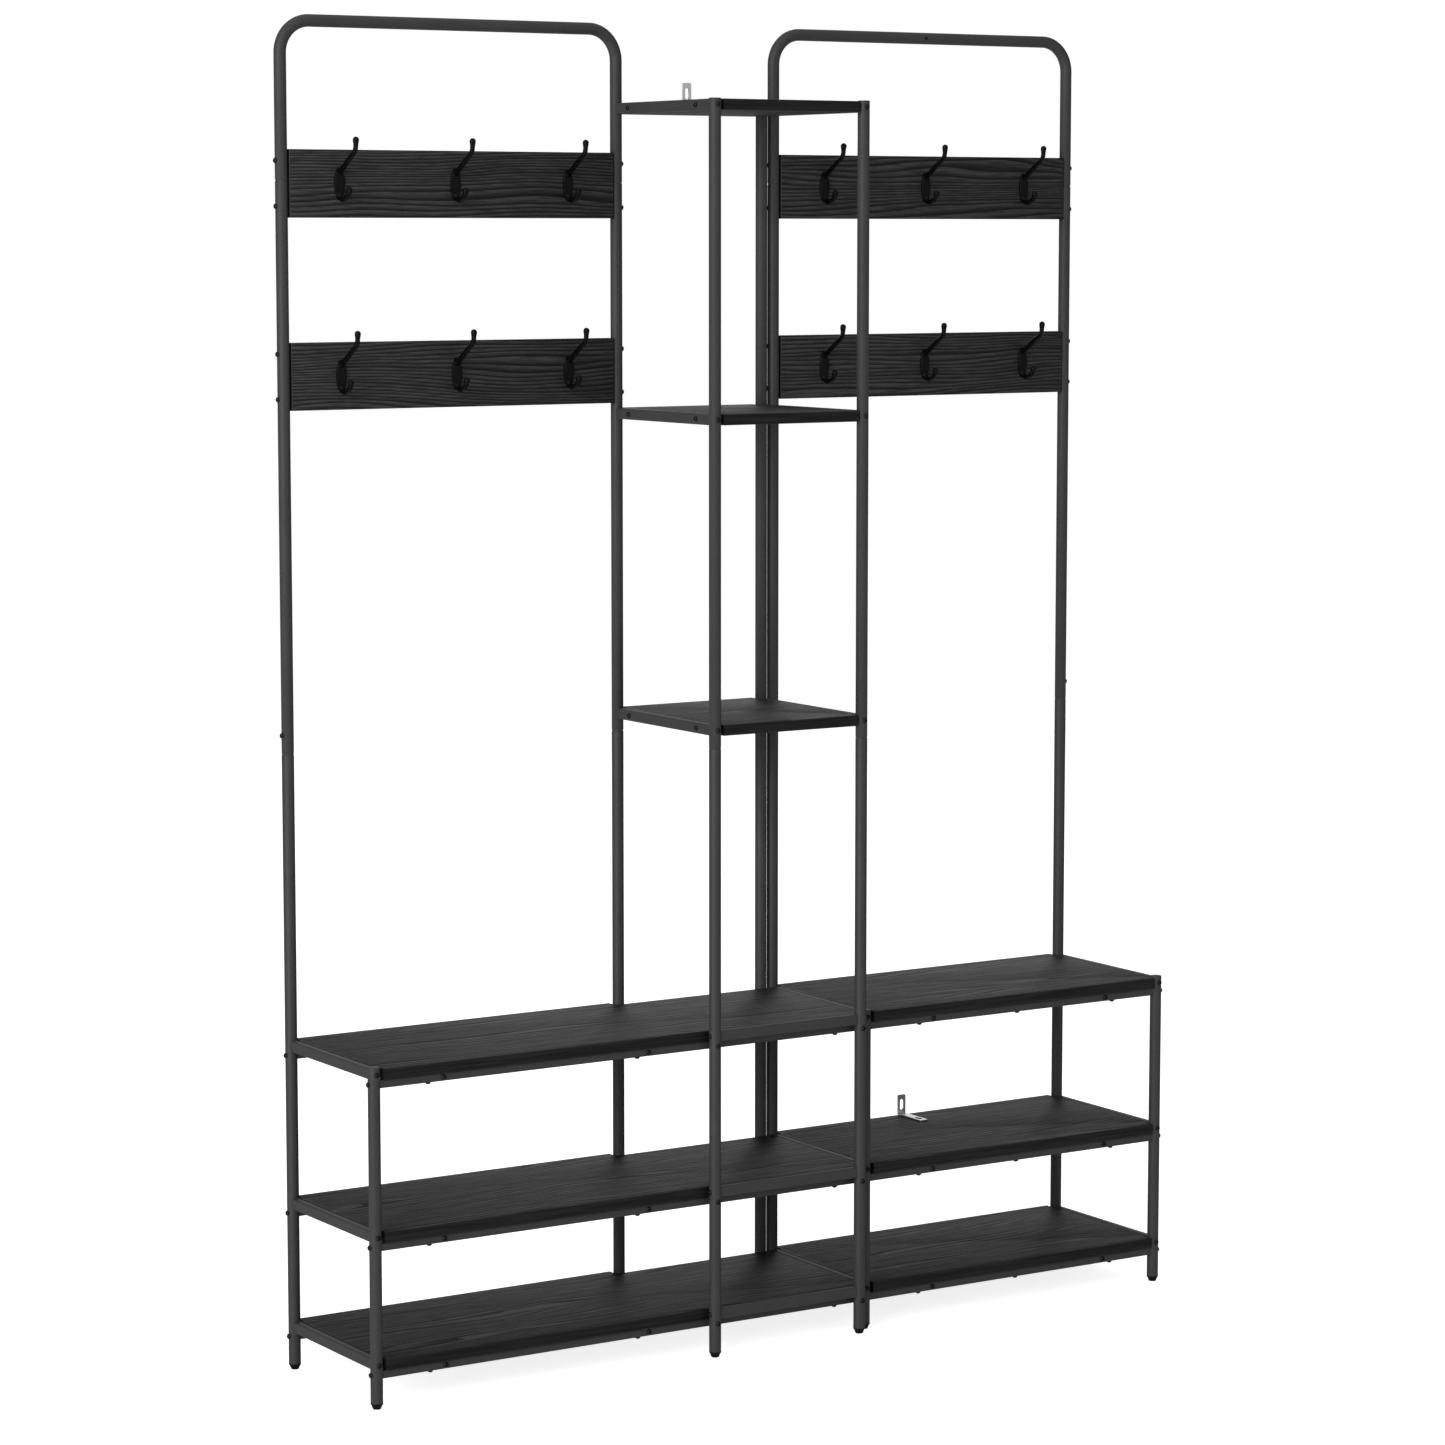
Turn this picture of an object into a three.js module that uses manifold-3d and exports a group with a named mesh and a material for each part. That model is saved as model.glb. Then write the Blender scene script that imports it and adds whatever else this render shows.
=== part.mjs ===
// Hall tree with coat hooks: a round-tube steel frame that carries a long and a short bench of
// three shelves each, an open shelf tower between them and two hoops with hook boards.
// Millimetres, +Z up, +X to the right, +Y towards the wall. The origin lies on the floor under
// the middle of the outline.

import Module from 'manifold-3d';
import * as THREE from 'three';
import { mergeVertices } from 'three/addons/utils/BufferGeometryUtils.js';

const wasm = await Module();
wasm.setup();

// ---- Driving dimensions ----

// Round tube of the posts and hoops
const tubeDiameter = 16.6;
const tubeWall = 1.2;
const tubeSides = 12;

// Layout: spans and depth between post centres, gaps between the tubes of neighbouring posts
const hoopSpan = 516;
const towerSpan = 240;
const twinPostGap = 3.4;
const benchDepth = 238;
const towerPostClearance = 1;

// Heights above the floor
const overallHeight = 1825;
const benchTops = { lower: 67, middle: 238, seat: 455 };
const benchPostRise = 2;
const towerPostRise = 1;
const postJointHeight = 843;

// Drops below the top of the hoops, and the step between tower boards
const towerTopDrop = 109;
const towerBoardPitch = 420;
const hookBoardDrops = { lower: 522, upper: 267 };
const hoopJointDrop = 219;

// Hoop bend, joint grooves and feet
const hoopBendRadius = 43;
const bendSteps = 6;
const grooveHeight = 1.6;
const grooveDepth = 0.6;
const footHeight = 7.5;
const footTipDiameter = 11;
const footPlugHeight = 20;

// Rectangular tube: side rails stand between the boards, under rails carry them
const sideRailWidth = 10;
const sideRailHeight = 15;
const underRailWidth = 10;
const underRailHeight = 11;
const railWall = 1;
const railCorner = 1.5;
const towerFrontRailRise = 1;
const longBraceInsets = { left: 101, towerLeft: 99, towerRight: 23 };
const shortBraceInsets = { left: 114, right: 97 };

// Boards
const boardThickness = 15;
const hookBoardHeight = 90;
const hookBoardThickness = 15;
const towerBoardSetback = 2;
const hookBoardScrewSpacing = 60;
const screwHoleDiameter = 5;

// Double coat hooks
const hooksPerBoard = 3;
const hookPitch = 176;
const hookPlateWidth = 16;
const hookPlateHeight = 44;
const hookPlateThickness = 3;
const hookPathSteps = 5;
const hookRodDiameter = 6.4;
const hookBallDiameter = 8;
const hookUpperReach = 49;
const hookUpperRise = 57;
const hookLowerReach = 29;
const hookLowerDrop = 21;

// Angle brackets that hold the frame to the wall
const bracketWidth = 14;
const bracketThickness = 2;
const bracketUpright = 30;
const bracketFoot = 60;
const bracketSlotWidth = 6;
const bracketSlotLength = 16;
const benchBracketOffset = 234;

// Clearances
const contactGap = 0.3;
const boardSideGap = 1;
const notchClearance = 2;

// ---- Places worked out from the driving dimensions ----

const tubeRadius = tubeDiameter / 2;
const postFace = tubeRadius + contactGap;
const twinPostPitch = tubeDiameter + twinPostGap;

const leftX = -(2 * hoopSpan + towerSpan + twinPostPitch) / 2;
const towerLeftX = leftX + hoopSpan;
const towerRightX = towerLeftX + towerSpan;
const rightHoopX = towerRightX + twinPostPitch;
const rightX = rightHoopX + hoopSpan;

const towerStep = tubeDiameter + towerPostClearance;
const backY = (benchDepth + towerStep) / 2;
const benchFrontY = backY - benchDepth;
const towerFrontY = benchFrontY - towerStep;

const towerTop = overallHeight - towerTopDrop;
const towerTops = { lower: towerTop - 2 * towerBoardPitch, upper: towerTop - towerBoardPitch, top: towerTop };
const hookBoardBottoms = {
  lower: overallHeight - hookBoardDrops.lower,
  upper: overallHeight - hookBoardDrops.upper,
};
const hoopJointHeight = overallHeight - hoopJointDrop;

const benchPostTop = benchTops.seat + benchPostRise;
const towerPostTop = towerTops.top + towerPostRise;

// ---- Materials ----

function material(color, roughness, metalness) {
  return new THREE.MeshStandardMaterial({ color, roughness, metalness });
}

const tubeFinish = () => material(0x3a3a3a, 0.5, 0.4);
const boardFinish = () => material(0x2c2b2a, 0.45, 0);
const hookFinish = () => material(0x141414, 0.35, 0.6);
const zincFinish = () => material(0xb9bcc0, 0.3, 0.9);

// ---- Solids ----

function toSolid(geometry) {
  const bare = geometry.clone();
  bare.deleteAttribute('normal');
  bare.deleteAttribute('uv');
  const merged = mergeVertices(bare, 1e-4);
  const vertProperties = new Float32Array(merged.attributes.position.array);
  const triVerts = new Uint32Array(merged.index.array);
  return new wasm.Manifold(new wasm.Mesh({ numProp: 3, vertProperties, triVerts }));
}

function toGeometry(solid) {
  const mesh = solid.getMesh();
  const geometry = new THREE.BufferGeometry();
  geometry.setAttribute('position', new THREE.BufferAttribute(mesh.vertProperties, 3));
  geometry.setIndex(new THREE.BufferAttribute(mesh.triVerts, 1));
  return geometry;
}

function join(solids) {
  return solids.reduce((sum, solid) => sum.add(solid));
}

function box(x, y, z) {
  const geometry = new THREE.BoxGeometry(x[1] - x[0], y[1] - y[0], z[1] - z[0]);
  geometry.translate((x[0] + x[1]) / 2, (y[0] + y[1]) / 2, (z[0] + z[1]) / 2);
  return toSolid(geometry);
}

function rod(radius, from, to, sides) {
  const start = new THREE.Vector3(...from);
  const span = new THREE.Vector3(...to).sub(start);
  const geometry = new THREE.CylinderGeometry(radius, radius, span.length(), sides);
  geometry.translate(0, span.length() / 2, 0);
  const turn = new THREE.Quaternion().setFromUnitVectors(new THREE.Vector3(0, 1, 0), span.normalize());
  geometry.applyQuaternion(turn);
  geometry.translate(...from);
  return toSolid(geometry);
}

// Turned solid about a vertical axis at (x, y), from [radius, height] points of a closed outline.
function turned(points, x, y) {
  const geometry = new THREE.LatheGeometry(points.map(([r, z]) => new THREE.Vector2(r, z)), tubeSides);
  geometry.rotateX(Math.PI / 2);
  geometry.translate(x, y, 0);
  return toSolid(geometry);
}

// ---- Posts and hoops ----

// Outline of a capped post: a tapered foot, the tube outside, its open top and the bore inside.
function postOutline(top) {
  const bore = tubeRadius - tubeWall;
  return [
    [0, 0],
    [footTipDiameter / 2, 0],
    [tubeRadius, footHeight],
    [tubeRadius, top],
    [bore, top],
    [bore, footPlugHeight],
    [0, footPlugHeight],
  ];
}

// Shallow ring cut into a tube where two lengths of it meet.
function jointGroove(x, y, z) {
  const depthRadius = tubeRadius - grooveDepth;
  const outside = tubeRadius + 1;
  return turned(
    [
      [depthRadius, z],
      [outside, z],
      [outside, z + grooveHeight],
      [depthRadius, z + grooveHeight],
      [depthRadius, z],
    ],
    x,
    y,
  );
}

function post(x, y, top) {
  const solid = turned(postOutline(top), x, y);
  return top > postJointHeight ? solid.subtract(jointGroove(x, y, postJointHeight)) : solid;
}

// Path through given stations, so that bends get many steps and straight runs only one.
class StationPath extends THREE.Curve {
  constructor(stations) {
    super();
    this.stations = stations;
  }

  getPointAt(u) {
    return this.stations[Math.round(u * (this.stations.length - 1))].point.clone();
  }

  getTangentAt(u) {
    return this.stations[Math.round(u * (this.stations.length - 1))].tangent.clone();
  }
}

// Stations up the left leg, round both bends and down the right leg.
function hoopStations(firstX, lastX, y, legBottom) {
  const centreHeight = overallHeight - tubeRadius;
  const bendZ = centreHeight - hoopBendRadius;
  const stations = [{ point: new THREE.Vector3(firstX, y, legBottom), tangent: new THREE.Vector3(0, 0, 1) }];
  const bends = [
    { x: firstX + hoopBendRadius, start: Math.PI },
    { x: lastX - hoopBendRadius, start: Math.PI / 2 },
  ];
  for (const bend of bends) {
    for (let step = 0; step <= bendSteps; step += 1) {
      const angle = bend.start - (Math.PI / 2) * (step / bendSteps);
      const outward = new THREE.Vector3(Math.cos(angle), 0, Math.sin(angle));
      const point = outward.clone().multiplyScalar(hoopBendRadius).add(new THREE.Vector3(bend.x, y, bendZ));
      stations.push({ point, tangent: new THREE.Vector3(Math.sin(angle), 0, -Math.cos(angle)) });
    }
  }
  stations.push({ point: new THREE.Vector3(lastX, y, legBottom), tangent: new THREE.Vector3(0, 0, -1) });
  return stations;
}

function sweptRod(radius, path, steps, sides) {
  const section = new THREE.Shape();
  for (let side = 0; side < sides; side += 1) {
    const angle = (2 * Math.PI * side) / sides;
    const corner = [radius * Math.cos(angle), radius * Math.sin(angle)];
    if (side === 0) section.moveTo(...corner);
    else section.lineTo(...corner);
  }
  section.closePath();
  const geometry = new THREE.ExtrudeGeometry(section, { steps, extrudePath: path, bevelEnabled: false });
  return toSolid(geometry);
}

// Inverted-U frame: two posts on feet, joined by the bent top tube, with screw holes in the legs.
function hoopFrame(firstX, lastX) {
  const stations = hoopStations(firstX, lastX, backY, footPlugHeight);
  const steps = stations.length - 1;
  const path = new StationPath(stations);
  const outside = sweptRod(tubeRadius, path, steps, tubeSides);
  const bore = sweptRod(tubeRadius - tubeWall, path, steps, tubeSides);
  let frame = outside.subtract(bore);
  for (const x of [firstX, lastX]) {
    const foot = turned(
      [
        [0, 0],
        [footTipDiameter / 2, 0],
        [tubeRadius, footHeight],
        [tubeRadius, footPlugHeight],
        [0, footPlugHeight],
      ],
      x,
      backY,
    );
    frame = frame.add(foot);
    frame = frame.subtract(jointGroove(x, backY, postJointHeight));
    frame = frame.subtract(jointGroove(x, backY, hoopJointHeight));
  }
  for (const bottom of Object.values(hookBoardBottoms)) {
    for (const side of [-1, 1]) {
      const z = bottom + hookBoardHeight / 2 + (side * hookBoardScrewSpacing) / 2;
      const from = [firstX - tubeDiameter, backY, z];
      const to = [lastX + tubeDiameter, backY, z];
      frame = frame.subtract(rod(screwHoleDiameter / 2, from, to, 6));
    }
  }
  return frame;
}

// ---- Rails ----

// Hollow rectangular section with chamfered corners, centred on the local origin.
function railSection(width, height) {
  const w = width / 2;
  const h = height / 2;
  const c = railCorner;
  const outline = [
    [-w + c, -h],
    [w - c, -h],
    [w, -h + c],
    [w, h - c],
    [w - c, h],
    [-w + c, h],
    [-w, h - c],
    [-w, -h + c],
  ];
  const section = new THREE.Shape(outline.map(([x, y]) => new THREE.Vector2(x, y)));
  const a = w - railWall;
  const b = h - railWall;
  const hole = [[-a, -b], [-a, b], [a, b], [a, -b]];
  section.holes.push(new THREE.Path(hole.map(([x, y]) => new THREE.Vector2(x, y))));
  return section;
}

function railSolid(width, height, length, axes, start) {
  const geometry = new THREE.ExtrudeGeometry(railSection(width, height), { depth: length, bevelEnabled: false });
  const place = new THREE.Matrix4().makeBasis(...axes).setPosition(...start);
  geometry.applyMatrix4(place);
  return toSolid(geometry);
}

const UNIT_X = new THREE.Vector3(1, 0, 0);
const UNIT_Y = new THREE.Vector3(0, 1, 0);
const UNIT_Z = new THREE.Vector3(0, 0, 1);

function railAlongX(x, y, top, width, height) {
  return railSolid(width, height, x[1] - x[0], [UNIT_Y, UNIT_Z, UNIT_X], [x[0], y, top - height / 2]);
}

function railAlongY(x, y, top, width, height) {
  const axes = [UNIT_X.clone().negate(), UNIT_Z, UNIT_Y];
  return railSolid(width, height, y[1] - y[0], axes, [x, y[0], top - height / 2]);
}

function sideRail(x, frontY, top) {
  return railAlongY(x, [frontY + postFace, backY - postFace], top, sideRailWidth, sideRailHeight);
}

function towerFrontRail(top) {
  const x = [towerLeftX + postFace, towerRightX - postFace];
  return railAlongX(x, towerFrontY, top + towerFrontRailRise, sideRailWidth, sideRailHeight);
}

// Channel, open below, that ties the front rail to a back rail under a board.
function brace(x, top) {
  const lap = railWall / 2;
  const y = [benchFrontY + underRailWidth / 2 - lap, backY - underRailWidth / 2 + lap];
  const half = underRailWidth / 2;
  const bottom = top - underRailHeight;
  const bar = box([x - half, x + half], y, [bottom, top]);
  const inset = [y[0] + railWall, y[1] - railWall];
  const hollow = box([x - half + railWall, x + half - railWall], inset, [bottom - 1, top - railWall]);
  return bar.subtract(hollow);
}

function underFrame(spans, boardTop, bracePlaces) {
  const top = boardTop - boardThickness - contactGap;
  const rails = spans.map(({ x, y }) => railAlongX(x, y, top, underRailWidth, underRailHeight));
  const braces = bracePlaces.map((x) => brace(x, top));
  return join([...rails, ...braces]);
}

function longUnderFrame(boardTop) {
  const spans = [
    { x: [leftX + postFace, rightHoopX - postFace], y: benchFrontY },
    { x: [leftX + postFace, towerLeftX - postFace], y: backY },
    { x: [towerLeftX + postFace, towerRightX - postFace], y: backY },
  ];
  const bracePlaces = [
    leftX + longBraceInsets.left,
    towerLeftX - longBraceInsets.towerLeft,
    towerRightX - longBraceInsets.towerRight,
  ];
  return underFrame(spans, boardTop, bracePlaces);
}

function shortUnderFrame(boardTop) {
  const x = [rightHoopX + postFace, rightX - postFace];
  const spans = [{ x, y: benchFrontY }, { x, y: backY }];
  const bracePlaces = [rightHoopX + shortBraceInsets.left, rightX - shortBraceInsets.right];
  return underFrame(spans, boardTop, bracePlaces);
}

// ---- Boards ----

const boardInset = sideRailWidth / 2 + boardSideGap;
const notchHalf = tubeRadius + notchClearance;

function board(x, y, top, posts) {
  let solid = box(x, y, [top - boardThickness, top]);
  for (const [postX, postY] of posts) {
    const notchX = [postX - notchHalf, postX + notchHalf];
    const notchY = [postY - notchHalf, postY + notchHalf];
    solid = solid.subtract(box(notchX, notchY, [top - boardThickness - 1, top + 1]));
  }
  return solid;
}

const benchBoardY = [benchFrontY - tubeRadius, backY + tubeRadius];

// The long board runs under the tower, where its back edge steps forward of the tower's posts.
function longBoard(top) {
  const x = [leftX + boardInset, rightHoopX - boardInset];
  const corners = [[leftX, benchFrontY], [leftX, backY], [rightHoopX, benchFrontY]];
  const stepX = [towerLeftX - notchHalf, x[1] + 1];
  const stepY = [backY - tubeRadius - boardSideGap, benchBoardY[1] + 1];
  const step = box(stepX, stepY, [top - boardThickness - 1, top + 1]);
  return board(x, benchBoardY, top, corners).subtract(step);
}

function shortBoard(top) {
  const x = [rightHoopX + boardInset, rightX - boardInset];
  const corners = [[rightHoopX, benchFrontY], [rightHoopX, backY], [rightX, benchFrontY], [rightX, backY]];
  return board(x, benchBoardY, top, corners);
}

function towerBoard(top) {
  const x = [towerLeftX + boardInset, towerRightX - boardInset];
  const y = [towerFrontY - tubeRadius + towerBoardSetback, backY + tubeRadius];
  const corners = [[towerLeftX, towerFrontY], [towerLeftX, backY], [towerRightX, towerFrontY], [towerRightX, backY]];
  return board(x, y, top, corners);
}

const hookBoardY = [backY - hookBoardThickness / 2, backY + hookBoardThickness / 2];

function hookBoard(firstX, lastX, bottom) {
  return box([firstX + postFace, lastX - postFace], hookBoardY, [bottom, bottom + hookBoardHeight]);
}

// ---- Coat hooks ----

// Built about the middle of the plate's back, reaching forward along -Y.
function hookSolid() {
  const outline = new THREE.Shape();
  outline.absellipse(0, 0, hookPlateWidth / 2, hookPlateHeight / 2, 0, 2 * Math.PI);
  const plate = new THREE.ExtrudeGeometry(outline, {
    depth: hookPlateThickness,
    curveSegments: 6,
    bevelEnabled: false,
  });
  plate.rotateX(Math.PI / 2);
  const root = -hookRodDiameter / 2;
  const upper = [
    [root, 0.27 * hookUpperRise],
    [0.3 * -hookUpperReach, 0.4 * hookUpperRise],
    [0.7 * -hookUpperReach, 0.615 * hookUpperRise],
    [0.91 * -hookUpperReach, 0.725 * hookUpperRise],
    [0.98 * -hookUpperReach, 0.82 * hookUpperRise],
    [-hookUpperReach, hookUpperRise],
  ];
  const lower = [
    [root, 0.72 * -hookLowerDrop],
    [0.2 * -hookLowerReach, 0.93 * -hookLowerDrop],
    [0.4 * -hookLowerReach, -hookLowerDrop],
    [0.72 * -hookLowerReach, 0.9 * -hookLowerDrop],
    [0.93 * -hookLowerReach, 0.66 * -hookLowerDrop],
    [-hookLowerReach, 0.4 * -hookLowerDrop],
  ];
  const solids = [toSolid(plate)];
  for (const points of [upper, lower]) {
    const path = new THREE.CatmullRomCurve3(points.map(([y, z]) => new THREE.Vector3(0, y, z)));
    solids.push(sweptRod(hookRodDiameter / 2, path, hookPathSteps, 6));
    const ball = new THREE.SphereGeometry(hookBallDiameter / 2, 6, 4);
    const [tipY, tipZ] = points[points.length - 1];
    ball.translate(0, tipY, tipZ);
    solids.push(toSolid(ball));
  }
  return join(solids);
}

// ---- Wall brackets ----

// Angle with a slot in each leg, built about the middle of its outer bend.
function bracketSolid() {
  const half = bracketWidth / 2;
  const foot = box([-half, half], [-bracketFoot, 0], [0, bracketThickness]);
  const upright = box([-half, half], [-bracketThickness, 0], [0, bracketUpright]);
  const slotHalf = bracketSlotWidth / 2;
  const edge = (bracketUpright - bracketSlotLength) / 2;
  const uprightSlot = box(
    [-slotHalf, slotHalf],
    [-bracketThickness - 1, 1],
    [bracketUpright - edge - bracketSlotLength, bracketUpright - edge],
  );
  const footSlot = box(
    [-slotHalf, slotHalf],
    [-bracketFoot + edge, -bracketFoot + edge + bracketSlotLength],
    [-1, bracketThickness + 1],
  );
  return foot.add(upright).subtract(uprightSlot).subtract(footSlot);
}

// ---- Assembly ----

const hallTree = new THREE.Group();

function addPiece(parent, name, geometry, finish, position = [0, 0, 0]) {
  const mesh = new THREE.Mesh(geometry, finish());
  mesh.name = name;
  mesh.position.set(...position);
  parent.add(mesh);
}

const frame = new THREE.Group();
addPiece(frame, 'left_hoop_frame', toGeometry(hoopFrame(leftX, towerLeftX)), tubeFinish);
addPiece(frame, 'right_hoop_frame', toGeometry(hoopFrame(rightHoopX, rightX)), tubeFinish);

const towerPosts = {
  tower_back_post: [towerRightX, backY],
  tower_front_post_left: [towerLeftX, towerFrontY],
  tower_front_post_right: [towerRightX, towerFrontY],
};
for (const [name, [x, y]] of Object.entries(towerPosts)) {
  addPiece(frame, name, toGeometry(post(x, y, towerPostTop)), tubeFinish);
}

const benchEnds = { left: leftX, middle: rightHoopX, right: rightX };
for (const [end, x] of Object.entries(benchEnds)) {
  addPiece(frame, `bench_front_post_${end}`, toGeometry(post(x, benchFrontY, benchPostTop)), tubeFinish);
}

for (const [level, top] of Object.entries(benchTops)) {
  for (const [end, x] of Object.entries(benchEnds)) {
    addPiece(frame, `bench_${end}_end_rail_${level}`, toGeometry(sideRail(x, benchFrontY, top)), tubeFinish);
  }
  addPiece(frame, `tower_front_rail_${level}`, toGeometry(towerFrontRail(top)), tubeFinish);
  addPiece(frame, `long_under_frame_${level}`, toGeometry(longUnderFrame(top)), tubeFinish);
  addPiece(frame, `short_under_frame_${level}`, toGeometry(shortUnderFrame(top)), tubeFinish);
}

const towerSides = { left: towerLeftX, right: towerRightX };
for (const [level, top] of Object.entries(towerTops)) {
  for (const [side, x] of Object.entries(towerSides)) {
    addPiece(frame, `tower_${side}_side_rail_${level}`, toGeometry(sideRail(x, towerFrontY, top)), tubeFinish);
  }
}
hallTree.add(frame);

const boards = new THREE.Group();
for (const [level, top] of Object.entries(benchTops)) {
  addPiece(boards, `long_board_${level}`, toGeometry(longBoard(top)), boardFinish);
  addPiece(boards, `short_board_${level}`, toGeometry(shortBoard(top)), boardFinish);
}
for (const [level, top] of Object.entries(towerTops)) {
  addPiece(boards, `tower_board_${level}`, toGeometry(towerBoard(top)), boardFinish);
}

const hoops = { left: [leftX, towerLeftX], right: [rightHoopX, rightX] };
const hooks = new THREE.Group();
for (const [side, [firstX, lastX]] of Object.entries(hoops)) {
  for (const [level, bottom] of Object.entries(hookBoardBottoms)) {
    addPiece(boards, `${side}_hook_board_${level}`, toGeometry(hookBoard(firstX, lastX, bottom)), boardFinish);
    for (let index = 0; index < hooksPerBoard; index += 1) {
      const x = (firstX + lastX) / 2 + (index - (hooksPerBoard - 1) / 2) * hookPitch;
      const position = [x, hookBoardY[0] - contactGap, bottom + hookBoardHeight / 2];
      addPiece(hooks, `${side}_${level}_hook_${index + 1}`, toGeometry(hookSolid()), hookFinish, position);
    }
  }
}
hallTree.add(boards);
hallTree.add(hooks);

const bracketPlaces = {
  tower_wall_bracket: [(towerLeftX + towerRightX) / 2, towerTops.top],
  bench_wall_bracket: [rightHoopX + benchBracketOffset, benchTops.middle],
};
for (const [name, [x, top]] of Object.entries(bracketPlaces)) {
  const position = [x, backY + tubeRadius, top + contactGap];
  addPiece(hallTree, name, toGeometry(bracketSolid()), zincFinish, position);
}

export default hallTree;
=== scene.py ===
"""Hall tree with coat hooks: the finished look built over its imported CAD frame.

Metres, +Z up, +X to the right, +Y towards the wall.
"""

import functools
import math

import bpy
import numpy as np
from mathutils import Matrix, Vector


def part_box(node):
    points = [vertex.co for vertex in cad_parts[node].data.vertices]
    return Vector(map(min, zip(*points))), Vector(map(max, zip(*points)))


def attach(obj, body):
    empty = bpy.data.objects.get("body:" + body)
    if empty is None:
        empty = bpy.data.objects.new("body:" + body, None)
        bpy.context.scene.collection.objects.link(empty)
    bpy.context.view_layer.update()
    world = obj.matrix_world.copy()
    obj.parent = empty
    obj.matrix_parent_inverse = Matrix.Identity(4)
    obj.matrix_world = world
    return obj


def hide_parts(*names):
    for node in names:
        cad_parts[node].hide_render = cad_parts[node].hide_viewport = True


bl_info = {
    "name": "Hall Tree with Hooks",
    "version": (1, 0, 0),
    "blender": (4, 5, 0),
    "location": "3D View > Sidebar > Hall Tree",
    "description": "Tubes, rails, boards, hooks and screws of a hall tree over its frame",
    "category": "Object",
}

MM = 0.001

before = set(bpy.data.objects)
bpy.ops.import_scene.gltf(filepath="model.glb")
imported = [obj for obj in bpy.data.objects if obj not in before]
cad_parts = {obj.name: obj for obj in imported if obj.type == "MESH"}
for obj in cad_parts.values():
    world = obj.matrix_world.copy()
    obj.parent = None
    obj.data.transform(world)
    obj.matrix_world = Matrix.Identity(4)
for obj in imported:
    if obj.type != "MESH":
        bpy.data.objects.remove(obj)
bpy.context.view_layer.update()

# ---- Places read from the frame ----

LEFT_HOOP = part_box("left_hoop_frame")
RIGHT_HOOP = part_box("right_hoop_frame")
TUBE_RADIUS = (LEFT_HOOP[1].y - LEFT_HOOP[0].y) / 2

LEFT_X = LEFT_HOOP[0].x + TUBE_RADIUS
TOWER_LEFT_X = LEFT_HOOP[1].x - TUBE_RADIUS
RIGHT_HOOP_X = RIGHT_HOOP[0].x + TUBE_RADIUS
RIGHT_X = RIGHT_HOOP[1].x - TUBE_RADIUS
TOWER_RIGHT_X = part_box("tower_back_post")[1].x - TUBE_RADIUS

BACK_Y = LEFT_HOOP[1].y - TUBE_RADIUS
BENCH_FRONT_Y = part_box("bench_front_post_left")[0].y + TUBE_RADIUS
TOWER_FRONT_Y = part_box("tower_front_post_left")[0].y + TUBE_RADIUS

BENCH_LEVELS = ("lower", "middle", "seat")
TOWER_LEVELS = ("lower", "upper", "top")
BENCH_TOPS = {level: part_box("long_board_" + level)[1].z for level in BENCH_LEVELS}
TOWER_TOPS = {level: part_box("tower_board_" + level)[1].z for level in TOWER_LEVELS}
BOARD_THICKNESS = BENCH_TOPS["seat"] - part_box("long_board_seat")[0].z
BENCH_END_X = {"left": LEFT_X, "middle": RIGHT_HOOP_X, "right": RIGHT_X}
TOWER_SIDE_X = {"left": TOWER_LEFT_X, "right": TOWER_RIGHT_X}
HOOPS = {"left": (LEFT_X, TOWER_LEFT_X), "right": (RIGHT_HOOP_X, RIGHT_X)}
HOOK_LEVELS = ("lower", "upper")
HOOK_BOARDS = [f"{side}_hook_board_{level}" for side in HOOPS for level in HOOK_LEVELS]


def linear(hex_colour):
    """Linear RGBA of an sRGB hex colour: each channel's curve undone, alpha one."""
    channels = np.array([int(hex_colour[i : i + 2], 16) for i in (1, 3, 5)]) / 255
    flat = np.where(channels <= 0.04045, channels / 12.92, ((channels + 0.055) / 1.055) ** 2.4)
    return (*flat.tolist(), 1.0)


# ---- Sizes and colours a user may change ----


def length(name, description, default):
    """A length property in metres."""
    return bpy.props.FloatProperty(
        name=name, description=description, default=default, unit="LENGTH", precision=4
    )


def colour(name, description, hex_colour):
    """A colour property from an sRGB hex value."""
    return bpy.props.FloatVectorProperty(
        name=name, description=description, default=linear(hex_colour), size=4, subtype="COLOR"
    )


def count(name, description, default):
    """A whole-number property."""
    return bpy.props.IntProperty(name=name, description=description, default=default, min=3)


class HallTreeTubes(bpy.types.PropertyGroup):
    """Round tube of the posts and hoops, with its joints and feet."""

    diameter: length("Tube diameter", "Outside diameter of posts and hoops", 2 * TUBE_RADIUS)
    bend_radius: length("Bend radius", "Centreline radius of the hoop's bends", 43 * MM)
    joint_height: length("Post joint", "Height of the joint in the tall posts", 843 * MM)
    hoop_joint_drop: length("Hoop joint", "Drop from the hoop's top to its upper joint", 219 * MM)
    groove_height: length("Joint groove height", "Height of the ring at a joint", 1.6 * MM)
    groove_depth: length("Joint groove depth", "Depth of the ring at a joint", 0.6 * MM)
    foot_height: length("Foot height", "Height of the foot below the tube", 7.5 * MM)
    foot_tip: length("Foot tip", "Diameter of the foot where it stands", 11 * MM)
    sides: count("Tube sides", "Faces round a tube", 40)


class HallTreeRails(bpy.types.PropertyGroup):
    """Rectangular tube of the rails and channels under the boards."""

    corner: length("Rail corner", "Outside corner radius of the rails", 1.6 * MM)
    wall: length("Channel wall", "Wall of the braces under the boards", 1.0 * MM)
    seam: length("Seam", "Gap between a rail's end and its post", 0.12 * MM)


class HallTreeBoards(bpy.types.PropertyGroup):
    """Shelf boards and hook boards."""

    bevel: length("Edge bevel", "Bevel along the boards' long edges", 0.7 * MM)
    side_gap: length("Side gap", "Gap between a board and its side rail", 1 * MM)
    notch_clearance: length("Notch clearance", "Gap between a post and its notch", 2 * MM)
    notch_corner: length("Notch corner", "Inner corner radius of a notch", 2.5 * MM)


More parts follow.
